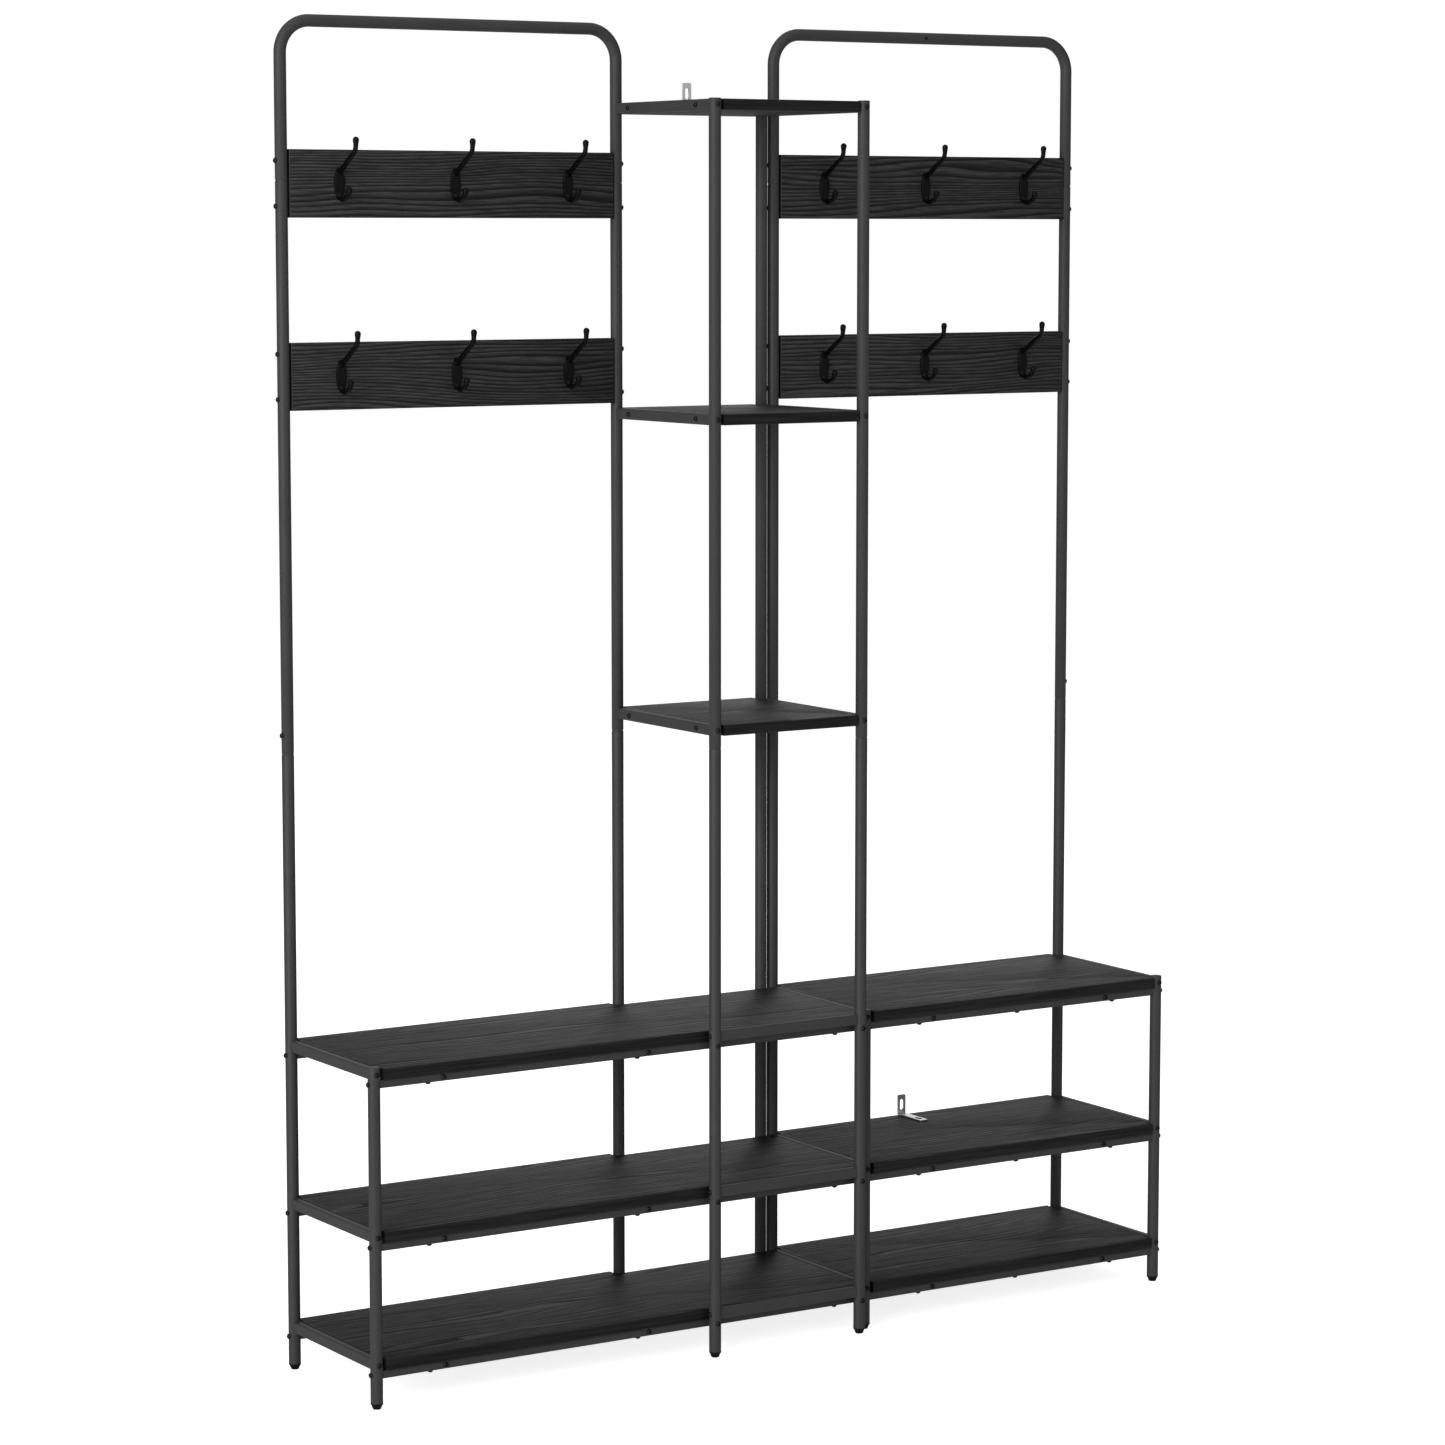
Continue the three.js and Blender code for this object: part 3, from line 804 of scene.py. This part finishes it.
class HallTreeUnderFramesOperator(bpy.types.Operator):
    """Build the rail frames that carry the bench boards"""

    bl_idname = "hall_tree.under_frames"
    bl_label = "Under frames"

    def execute(self, context):
        rails = context.scene.hall_tree_rails
        radius = context.scene.hall_tree_tubes.diameter / 2
        long_spans = [
            (LEFT_X, RIGHT_HOOP_X, BENCH_FRONT_Y),
            (LEFT_X, TOWER_LEFT_X, BACK_Y),
            (TOWER_LEFT_X, TOWER_RIGHT_X, BACK_Y),
        ]
        short_spans = [(RIGHT_HOOP_X, RIGHT_X, BENCH_FRONT_Y), (RIGHT_HOOP_X, RIGHT_X, BACK_Y)]
        for level in BENCH_LEVELS:
            for node, spans, braces in (
                ("long_under_frame_" + level, long_spans, LONG_BRACES),
                ("short_under_frame_" + level, short_spans, SHORT_BRACES),
            ):
                shells = under_frame_shells(node, spans, braces, radius, rails)
                make_piece(node + "_tubes", shells, [powder_coat()], [node])
        return {"FINISHED"}


def notched_outline(low, high, posts, reach, corner):
    """Board outline, anticlockwise: a rectangle whose corners step in past their posts.

    posts holds the post's place for each corner in turn from the low corner, or None. A notch's
    inner corner is a quarter circle about a point one corner radius back from it.
    """
    corners = [(low.x, low.y), (high.x, low.y), (high.x, high.y), (low.x, high.y)]
    inwards = [(1, 1), (-1, 1), (-1, -1), (1, -1)]
    turns = np.linspace(0, math.pi / 2, 5)
    parts = []
    for number, (place, inward, post) in enumerate(zip(corners, inwards, posts)):
        if post is None:
            parts.append(np.array([place]))
            continue
        inward = np.array(inward)
        inner = np.array(post) + reach * inward
        swing = np.column_stack([np.sin(turns), np.cos(turns)]) - 1
        arc = inner + corner * inward * swing
        notch = np.concatenate([[(place[0], inner[1])], arc, [(inner[0], place[1])]])
        parts.append(notch if number in (0, 2) else notch[::-1])
    return np.concatenate(parts)


def posts_round(left_x, right_x, front_y):
    """Places of a board's four posts, anticlockwise from the front left."""
    return [(left_x, front_y), (right_x, front_y), (right_x, BACK_Y), (left_x, BACK_Y)]


def stepped(outline, high, reach, gap):
    """Long board's outline with its back right corner stepped in round the tower's post."""
    x, y = TOWER_LEFT_X - reach, BACK_Y - gap
    at = int(np.argmax(np.isclose(outline, (high.x, high.y)).all(axis=1)))
    return np.concatenate([outline[:at], [(high.x, y), (x, y), (x, high.y)], outline[at + 1 :]])


def board_piece(node, shell, face_axis):
    """Board in three finishes: foil on its faces, band on its edges, the radius between them.

    A face's finish follows from how much its normal points along face_axis.
    """
    finishes = [oak_foil(), edge_band(), foil_radius()]
    polygons = make_piece(node + "_panel", [shell], finishes, [node]).data.polygons
    normals = np.zeros(len(polygons) * 3, np.float32)
    polygons.foreach_get("normal", normals)
    facing = np.abs(normals[face_axis::3])
    least_on_face, most_on_edge = 0.97, 0.2
    number = np.where(facing > least_on_face, 0, np.where(facing < most_on_edge, 1, 2))
    polygons.foreach_set("material_index", number.astype(np.int32))


class HallTreeBoardsOperator(bpy.types.Operator):
    """Build the notched shelf boards of the benches and the tower"""

    bl_idname = "hall_tree.boards"
    bl_label = "Shelf boards"

    def execute(self, context):
        boards = context.scene.hall_tree_boards
        radius = context.scene.hall_tree_tubes.diameter / 2
        reach = radius + boards.notch_clearance
        long_posts = posts_round(LEFT_X, RIGHT_HOOP_X, BENCH_FRONT_Y)
        long_posts[2] = None
        plans = {}
        for level in BENCH_LEVELS:
            plans["long_board_" + level] = long_posts
            plans["short_board_" + level] = posts_round(RIGHT_HOOP_X, RIGHT_X, BENCH_FRONT_Y)
        for level in TOWER_LEVELS:
            plans["tower_board_" + level] = posts_round(TOWER_LEFT_X, TOWER_RIGHT_X, TOWER_FRONT_Y)
        for node, posts in plans.items():
            low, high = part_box(node)
            outline = notched_outline(low, high, posts, reach, boards.notch_corner)
            if posts is long_posts:
                outline = stepped(outline, high, reach, radius + boards.side_gap)
            board_piece(node, slab(outline, low.z, high.z, boards.bevel), 2)
        return {"FINISHED"}


class HallTreeHookBoardsOperator(bpy.types.Operator):
    """Build the four hook boards"""

    bl_idname = "hall_tree.hook_boards"
    bl_label = "Hook boards"

    def execute(self, context):
        bevel = context.scene.hall_tree_boards.bevel
        for node in HOOK_BOARDS:
            low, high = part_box(node)
            corners = [(low.x, low.z), (high.x, low.z), (high.x, high.z), (low.x, high.z)]
            points, faces = slab(np.array(corners), -high.y, -low.y, bevel)
            turned_up = np.column_stack([points[:, 0], -points[:, 2], points[:, 1]])
            board_piece(node, (turned_up, faces), 1)
        return {"FINISHED"}


def arm_shell(points, rod, neck, tip, flare):
    """Hook arm: a circle carried along a smooth line and closed by a round tip.

    Its radius falls from a flare at the plate to the rod, goes over to the neck, and swells to
    the tip. In the tip it is the root of the tip's radius squared less the distance from its
    middle squared.
    """
    flare_length, swell_length = 4 * MM, 4.5 * MM
    flat = catmull(points, 12)
    path = np.column_stack([np.zeros(len(flat)), flat])
    onward = path[-1] - path[-2]
    onward /= np.linalg.norm(onward)
    ball_radius = tip / 2
    dome = np.sin(np.linspace(0, 1, 9) * math.pi / 2) * ball_radius
    run = np.concatenate([[0], np.cumsum(np.linalg.norm(np.diff(path, axis=0), axis=1))])
    total = run[-1]
    path = np.concatenate([path[:-1], path[-1] + dome[:, None] * onward])
    run = np.concatenate([run[:-1], total + dome])
    narrowing = np.clip(run / total, 0, 1) ** 2
    arm = rod / 2 + (neck - rod) / 2 * narrowing + flare * np.exp(-run / flare_length)
    swell = (ball_radius - arm) * np.exp(-(((total - run) / swell_length) ** 2))
    smallest = 0.05 * ball_radius
    ball = np.sqrt(np.maximum(ball_radius**2 - (run - total) ** 2, smallest**2))
    travel = np.gradient(path, axis=0)
    travel /= np.linalg.norm(travel, axis=1)[:, None]
    return bar(path, travel, np.where(run < total, arm + swell, ball), (1, 0, 0), 24)


def plate_shell(width, height, thickness):
    """Oval plate with a softly domed face: an ellipse drawn in as it rises."""
    shares = np.array([1.0, 1.0, 0.985, 0.93, 0.8, 0.55, 0.2])
    rises = np.array([0.0, 0.45, 0.7, 0.88, 0.96, 1.0, 1.02]) * thickness
    angles = once_round(48)
    oval = np.column_stack([np.cos(angles) * width / 2, 0 * angles, np.sin(angles) * height / 2])
    return loft(shares[:, None, None] * oval + rises[:, None, None] * np.array(FORWARD))


def hook_shells(hooks):
    """Plate, upper arm and lower arm of a hook, the middle of the plate's back at the origin.

    Each arm starts inside the plate and runs through shares of its reach and rise, or drop.
    """
    reach, rise = hooks.upper_reach, hooks.upper_rise
    out, drop = hooks.lower_reach, hooks.lower_drop
    inside = -1.2 * MM
    up = np.array([(0.3, 0.4), (0.7, 0.615), (0.91, 0.725), (0.98, 0.82), (1, 1)])
    down = np.array([(0.2, 0.93), (0.4, 1), (0.72, 0.9), (0.93, 0.66), (1, 0.4)])
    upper = [(inside, 0.27 * rise), *(up * (-reach, rise))]
    lower = [(inside, -0.72 * drop), *(down * (-out, -drop))]
    return [
        plate_shell(hooks.plate_width, hooks.plate_height, hooks.plate_thickness),
        arm_shell(upper, hooks.rod, hooks.neck, hooks.upper_tip, 1.4 * MM),
        arm_shell(lower, hooks.rod, hooks.rod, hooks.lower_tip, 1.0 * MM),
    ]


class HallTreeHooksOperator(bpy.types.Operator):
    """Build the twelve double hooks"""

    bl_idname = "hall_tree.hooks"
    bl_label = "Coat hooks"

    def execute(self, context):
        shells = hook_shells(context.scene.hall_tree_hooks)
        for board in HOOK_BOARDS:
            side, _, _, level = board.split("_")
            board_low, board_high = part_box(board)
            for number in (1, 2, 3):
                node = f"{side}_{level}_hook_{number}"
                low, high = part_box(node)
                middle = (board_low.z + board_high.z) / 2
                place = np.array([(low.x + high.x) / 2, board_low.y, middle])
                made = [(points + place, faces) for points, faces in shells]
                make_piece(node + "_casting", made, [hook_lacquer()], [node])
        return {"FINISHED"}


def bracket_shell(x, wall_y, seat_z):
    """Bent strip with a slot in each leg.

    The strip is a grid of length by width. Its end lines and slot lines are curved, each set
    back by the corner radius less the root of that radius squared less the offset squared. The
    cells inside a slot are left out. Length then runs up the foot, round the bend and upwards.
    """
    half, thick, bend, corner = 7 * MM, 2 * MM, 3 * MM, 2.5 * MM
    foot, upright = 60 * MM - bend, 30 * MM - bend
    slot, slot_long, margin, lead = 3 * MM, 16 * MM, 7 * MM, 2 * MM
    wide = np.array([-7, -6.6, -5.8, -4.5, -3, -2.6, -1.5, 0, 1.5, 2.6, 3, 4.5, 5.8, 6.6, 7]) * MM
    quarter = bend * math.pi / 2
    total = foot + quarter + upright

    def set_back(radius, offset):
        return radius - np.sqrt(np.maximum(radius**2 - offset**2, 0))

    straight = np.zeros(len(wide))
    round_end = set_back(corner, np.maximum(np.abs(wide) - half + corner, 0))
    round_slot = set_back(slot, np.minimum(np.abs(wide), slot))
    low_slot = margin, margin + slot_long
    high_slot = total - margin - slot_long, total - margin
    turn = [straight + run for run in foot + np.linspace(0, quarter, 9)]
    lines = [round_end]
    slot_rows = []
    for before, (first, last) in (([], low_slot), (turn, high_slot)):
        lines += [*before, straight + first - lead, first + round_slot]
        slot_rows.append(len(lines) - 1)
        lines += [last - round_slot, straight + last + lead]
    run = np.array([*lines, total - round_end])

    angle = np.clip((run - foot) / bend, 0, math.pi / 2)
    out = np.where(run < foot, run - foot - bend, np.sin(angle) * bend - bend)
    rise = np.where(run < foot, 0, bend - np.cos(angle) * bend)
    rise = np.where(run > foot + quarter, bend + run - foot - quarter, rise)
    outer = np.stack([np.broadcast_to(wide, run.shape) + x, out + wall_y, rise + seat_z], -1)
    inner = outer + thick * np.stack([np.zeros_like(run), -np.sin(angle), np.cos(angle)], -1)

    rows, columns = run.shape
    cells = np.ones((rows - 1, columns - 1), bool)
    cells[np.ix_(slot_rows, np.abs(wide[:-1] + wide[1:]) / 2 < slot)] = False
    index, lift = np.arange(rows * columns).reshape(rows, columns), rows * columns
    corners = index[:-1, :-1], index[1:, :-1], index[1:, 1:], index[:-1, 1:]
    under = np.column_stack([corner_index[cells] for corner_index in corners])
    over = under[:, [0, 3, 2, 1]] + lift
    edges = np.concatenate([under[:, [side, (side + 1) % 4]] for side in range(4)]).tolist()
    known = {tuple(edge) for edge in edges}
    rim = np.array([edge for edge in edges if (edge[1], edge[0]) not in known])
    walls = np.column_stack([rim[:, 1], rim[:, 0], rim[:, 0] + lift, rim[:, 1] + lift])
    points = np.concatenate([outer.reshape(-1, 3), inner.reshape(-1, 3)])
    used, compact = np.unique(np.concatenate([under, over, walls]), return_inverse=True)
    return points[used], compact.reshape(-1, 4).tolist()


class HallTreeBracketsOperator(bpy.types.Operator):
    """Build the two wall brackets"""

    bl_idname = "hall_tree.brackets"
    bl_label = "Wall brackets"

    def execute(self, context):
        for node in ("tower_wall_bracket", "bench_wall_bracket"):
            low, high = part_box(node)
            shell = bracket_shell((low.x + high.x) / 2, high.y, low.z)
            made = make_piece(node + "_strip", [shell], [bright_zinc()], [node])
            soften = made.modifiers.new("edge", "BEVEL")
            soften.width = 0.25 * MM
            soften.segments = 2
            soften.limit_method = "ANGLE"
            soften.angle_limit = math.radians(60)
        return {"FINISHED"}


def screw_shell(place, facing, screws):
    """Button-head screw: a low dome with a hexagon socket.

    Rings rise over the dome and go down into the socket. In the socket a ring's radius is the
    flats' half width over the cosine of the angle from the nearest flat's middle.
    """
    radius, high, flat = screws.head / 2, screws.head_height, screws.socket / 2
    angles = once_round(24)
    hexagon = flat / np.cos((angles + math.pi / 6) % (math.pi / 3) - math.pi / 6)
    swing = np.linspace(0, 0.95, 6)
    dome = np.array([0.97, *np.cos(swing)])[:, None] * np.full(len(angles), radius)
    radii = np.concatenate([dome, np.array([1.12, 1, 0.98])[:, None] * hexagon])[..., None]
    lift = 0.14 * high + 0.86 * high * np.sin(swing) / math.sin(swing[-1])
    heights = np.array([-0.3 * MM, *lift, high, high - 0.2 * MM, 0.35 * high])[:, None, None]
    return loft(np.array(place) + radii * spokes(facing, angles) + heights * np.array(facing))


def screws_on_post(x, y, heights, facing, radius):
    """Place and direction of screws on a post's face, one per height."""
    return [((x + facing[0] * radius, y + facing[1] * radius, z), facing) for z in heights]


SIDEWAYS = {"left": LEFTWARD, "right": RIGHTWARD}
BOARD_SCREW_DROP = BOARD_THICKNESS / 2


def bench_post_screws(radius):
    """Screws through the posts into the bench's boards and rails, each a drop below its board."""
    tops = np.array(list(BENCH_TOPS.values()))
    end_rail, long_board, front_rail = (tops - drop * MM for drop in (20.8, 6.5, 19))
    found = []
    for x in BENCH_END_X.values():
        found += screws_on_post(x, BENCH_FRONT_Y, tops - BOARD_SCREW_DROP, FORWARD, radius)
    for side, facing in SIDEWAYS.items():
        for y in (BENCH_FRONT_Y, BACK_Y):
            found += screws_on_post(BENCH_END_X[side], y, end_rail, facing, radius)
        x = TOWER_SIDE_X[side]
        found += screws_on_post(x, TOWER_FRONT_Y, long_board, facing, radius)
        found += screws_on_post(x, TOWER_FRONT_Y, front_rail, FORWARD, radius)
    return found


def tower_screws(radius):
    """Screws through the tower's front posts and through its side rails into the boards."""
    tops = np.array(list(TOWER_TOPS.values()))
    from_end = 40 * MM
    found = []
    for side, facing in SIDEWAYS.items():
        x = TOWER_SIDE_X[side]
        found += screws_on_post(x, TOWER_FRONT_Y, tops - BOARD_SCREW_DROP, FORWARD, radius)
        for level in TOWER_LEVELS:
            low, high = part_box(f"tower_{side}_side_rail_{level}")
            face = low.x if facing == LEFTWARD else high.x
            for y in (TOWER_FRONT_Y + from_end, BACK_Y - from_end):
                found.append(((face, y, (low.z + high.z) / 2), facing))
    return found


def hook_board_screws(radius):
    """Two screws through each leg into each end of a hook board."""
    found = []
    for board in HOOK_BOARDS:
        first_x, last_x = HOOPS[board.split("_")[0]]
        low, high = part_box(board)
        heights = (low.z + high.z) / 2 + np.array([-30, 30]) * MM
        found += screws_on_post(first_x, BACK_Y, heights, LEFTWARD, radius)
        found += screws_on_post(last_x, BACK_Y, heights, RIGHTWARD, radius)
    return found


def joint_screws(radius, joint_height):
    """Cross bolts just over the joints of the outermost posts."""
    height = [joint_height + 26 * MM]
    found = []
    for side, facing in SIDEWAYS.items():
        found += screws_on_post(BENCH_END_X[side], BACK_Y, height, facing, radius)
    return found


def under_rail_screws():
    """Screws through the front rails into the braces, and up through the rails into the boards."""
    found = []
    for level in BENCH_LEVELS:
        low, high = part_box("long_under_frame_" + level)
        z = (low.z + high.z) / 2
        found += [((x, low.y, z), FORWARD) for x in (*LONG_BRACES[:2], *SHORT_BRACES)]
        upward = [LEFT_X + d * MM for d in (80, 402, 725)]
        upward += [RIGHT_HOOP_X + d * MM for d in (93, 264, 435)]
        found += [((x, BENCH_FRONT_Y, low.z), DOWNWARD) for x in upward]
    return found


class HallTreeScrewsOperator(bpy.types.Operator):
    """Build the screw heads"""

    bl_idname = "hall_tree.screws"
    bl_label = "Screws"

    def execute(self, context):
        scene = context.scene
        screws, tubes = scene.hall_tree_screws, scene.hall_tree_tubes
        radius = tubes.diameter / 2
        groups = {
            "bench_post_screws": bench_post_screws(radius),
            "tower_screws": tower_screws(radius),
            "hook_board_screws": hook_board_screws(radius),
            "joint_screws": joint_screws(radius, tubes.joint_height),
            "under_rail_screws": under_rail_screws(),
        }
        for name, places in groups.items():
            shells = [screw_shell(place, facing, screws) for place, facing in places]
            make_piece(name, shells, [screw_steel()], smooth=40)
        return {"FINISHED"}


# ---- Stage ----


def heading(direction):
    """Euler angles that turn an object's -Z along a direction, with its top kept upright."""
    x, y, z = direction / np.linalg.norm(direction)
    return (math.acos(-z), 0.0, math.atan2(-x, y))


class HallTreeStageOperator(bpy.types.Operator):
    """Set the floor, the lights, the background and the camera"""

    bl_idname = "hall_tree.stage"
    bl_label = "Stage"

    def execute(self, context):
        scene = context.scene
        mesh = bpy.data.meshes.new("studio_floor")
        far = 60.0
        corners = [(-far, -far, 0), (far, -far, 0), (far, far, 0), (-far, far, 0)]
        mesh.from_pydata(corners, [], [(0, 1, 2, 3)])
        mesh.materials.append(studio_paper())
        floor = bpy.data.objects.new("studio_floor", mesh)
        scene.collection.objects.link(floor)

        middle = np.array([0, 0, 0.9])
        for name, place, size, power in (
            ("key_softbox", (-7.6, -3.6, 3.4), 5.5, 640),
            ("fill_softbox", (2.4, -7.6, 2.4), 7.0, 90),
            ("back_softbox", (3.2, 5.0, 3.0), 3.5, 40),
            ("top_softbox", (0, -0.4, 4.8), 5.0, 60),
        ):
            light = bpy.data.lights.new(name, "AREA")
            light.shape = "SQUARE"
            light.size = size
            light.energy = power
            softbox = bpy.data.objects.new(name, light)
            scene.collection.objects.link(softbox)
            softbox.location = place
            softbox.rotation_euler = heading(middle - place)

        world = bpy.data.worlds.new("studio_white")
        world.use_nodes = True
        tree = world.node_tree
        tree.nodes.clear()
        seen = add_node(tree, "LightPath").outputs["Is Camera Ray"]
        level = add_node(
            tree, "Mix", {0: seen, 6: (0.2, 0.2, 0.2, 1), 7: (1, 1, 1, 1)}, data_type="RGBA"
        )
        sky = add_node(tree, "Background", {"Color": level, "Strength": 1.0})
        add_node(tree, "OutputWorld", {"Surface": sky})
        scene.world = world
        scene.view_settings.view_transform = "Standard"

        lens = bpy.data.cameras.new("camera")
        lens.lens = 106.41
        lens.sensor_width = 36
        lens.clip_start, lens.clip_end = 0.1, 200
        camera = bpy.data.objects.new("camera", lens)
        scene.collection.objects.link(camera)
        camera.location = (-3.2066, -4.9797, 1.5384)
        turn, tilt = math.radians(32.48), math.radians(-6.543)
        ahead = (math.sin(turn) * math.cos(tilt), math.cos(turn) * math.cos(tilt), math.sin(tilt))
        camera.rotation_euler = heading(np.array(ahead))
        scene.camera = camera
        return {"FINISHED"}


OPERATORS = (
    HallTreeHoopsOperator,
    HallTreePostsOperator,
    HallTreeFeetOperator,
    HallTreeRailsOperator,
    HallTreeUnderFramesOperator,
    HallTreeBoardsOperator,
    HallTreeHookBoardsOperator,
    HallTreeHooksOperator,
    HallTreeBracketsOperator,
    HallTreeScrewsOperator,
    HallTreeStageOperator,
)

SETTINGS = {
    "hall_tree_tubes": HallTreeTubes,
    "hall_tree_rails": HallTreeRails,
    "hall_tree_boards": HallTreeBoards,
    "hall_tree_hooks": HallTreeHooks,
    "hall_tree_screws": HallTreeScrews,
    "hall_tree_colours": HallTreeColours,
}


class HallTreePanel(bpy.types.Panel):
    """Sizes, colours and builders of the hall tree"""

    bl_idname = "VIEW3D_PT_hall_tree"
    bl_label = "Hall Tree"
    bl_space_type = "VIEW_3D"
    bl_region_type = "UI"
    bl_category = "Hall Tree"

    def draw(self, context):
        for name, group in SETTINGS.items():
            settings = getattr(context.scene, name)
            column = self.layout.box().column()
            for prop in group.__annotations__:
                column.prop(settings, prop)
        for operator in OPERATORS:
            self.layout.operator(operator.bl_idname)


def register():
    for cls in (*SETTINGS.values(), *OPERATORS, HallTreePanel):
        bpy.utils.register_class(cls)
    for name, group in SETTINGS.items():
        setattr(bpy.types.Scene, name, bpy.props.PointerProperty(type=group))


def unregister():
    for name in SETTINGS:
        delattr(bpy.types.Scene, name)
    for cls in reversed((*SETTINGS.values(), *OPERATORS, HallTreePanel)):
        bpy.utils.unregister_class(cls)


def main():
    """Builds every piece."""
    register()
    bpy.ops.hall_tree.hoops()
    bpy.ops.hall_tree.posts()
    bpy.ops.hall_tree.feet()
    bpy.ops.hall_tree.rails()
    bpy.ops.hall_tree.under_frames()
    bpy.ops.hall_tree.boards()
    bpy.ops.hall_tree.hook_boards()
    bpy.ops.hall_tree.hooks()
    bpy.ops.hall_tree.brackets()
    bpy.ops.hall_tree.screws()
    bpy.ops.hall_tree.stage()


if __name__ == "__main__":
    main()
